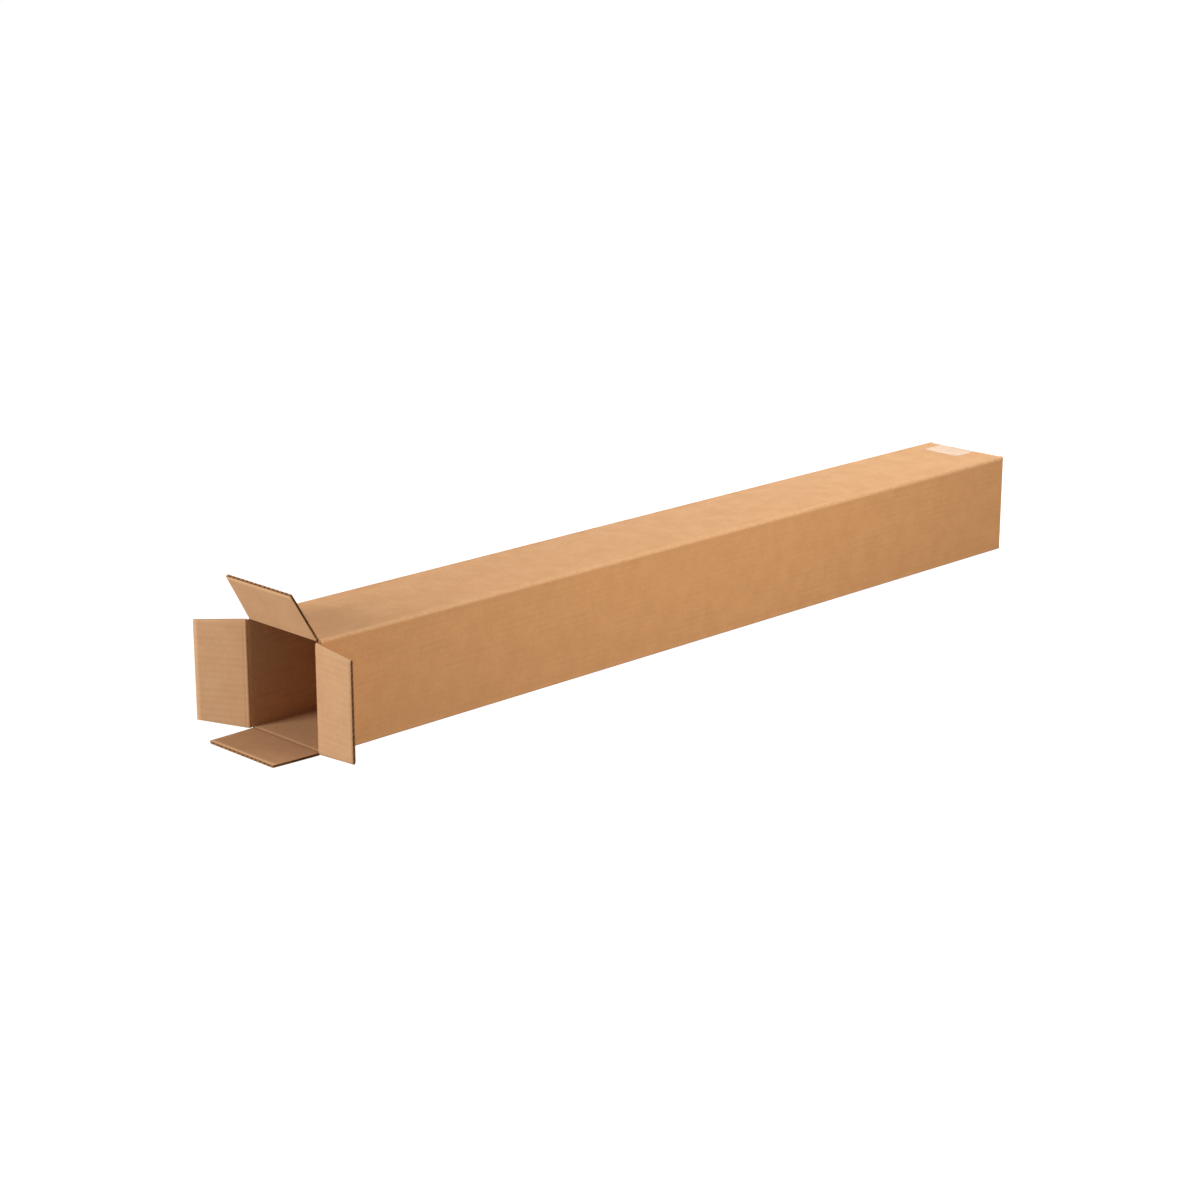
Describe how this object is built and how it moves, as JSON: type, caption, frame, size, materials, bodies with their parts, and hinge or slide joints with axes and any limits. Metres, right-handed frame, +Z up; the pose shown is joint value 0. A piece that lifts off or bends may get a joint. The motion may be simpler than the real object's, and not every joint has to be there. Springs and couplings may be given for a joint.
{
  "type": "long cardboard box",
  "caption": "Long box of corrugated cardboard lying on its side, one end folded shut and taped, the other open with its flaps folded out on scored creases",
  "frame": {"origin": "middle of the outer face of the bottom panel, on which the box rests", "axes": "+X from the open end to the closed end, +Y to the left seen from the open end, +Z up"},
  "size_m": [1.0788, 0.2022, 0.1589],
  "materials": {
    "board": "matte",
    "tape": "gloss"
  },
  "bodies": {
    "box": {"box_body": "board", "end_tape": "tape"},
    "flap_top": {"top_flap": "board"},
    "flap_right": {"right_flap": "board"},
    "flap_bottom": {"bottom_flap": "board"},
    "flap_left": {"left_flap": "board"}
  },
  "joints": [
    {"name": "top_flap_fold", "type": "hinge", "parent": "box", "child": "flap_top", "pos_m": [-0.5105, 0, 0.111], "axis": [0, -1, 0], "range_deg": [-79, 151]},
    {"name": "right_flap_fold", "type": "hinge", "parent": "box", "child": "flap_right", "pos_m": [-0.514, -0.0528, 0.056], "axis": [0, 0, -1], "range_deg": [-53, 177]},
    {"name": "bottom_flap_fold", "type": "hinge", "parent": "box", "child": "flap_bottom", "pos_m": [-0.5105, 0, 0.001], "axis": [0, 1, 0], "range_deg": [-140, 90]},
    {"name": "left_flap_fold", "type": "hinge", "parent": "box", "child": "flap_left", "pos_m": [-0.514, 0.0528, 0.056], "axis": [0, 0, 1], "range_deg": [-82, 148]}
  ]
}
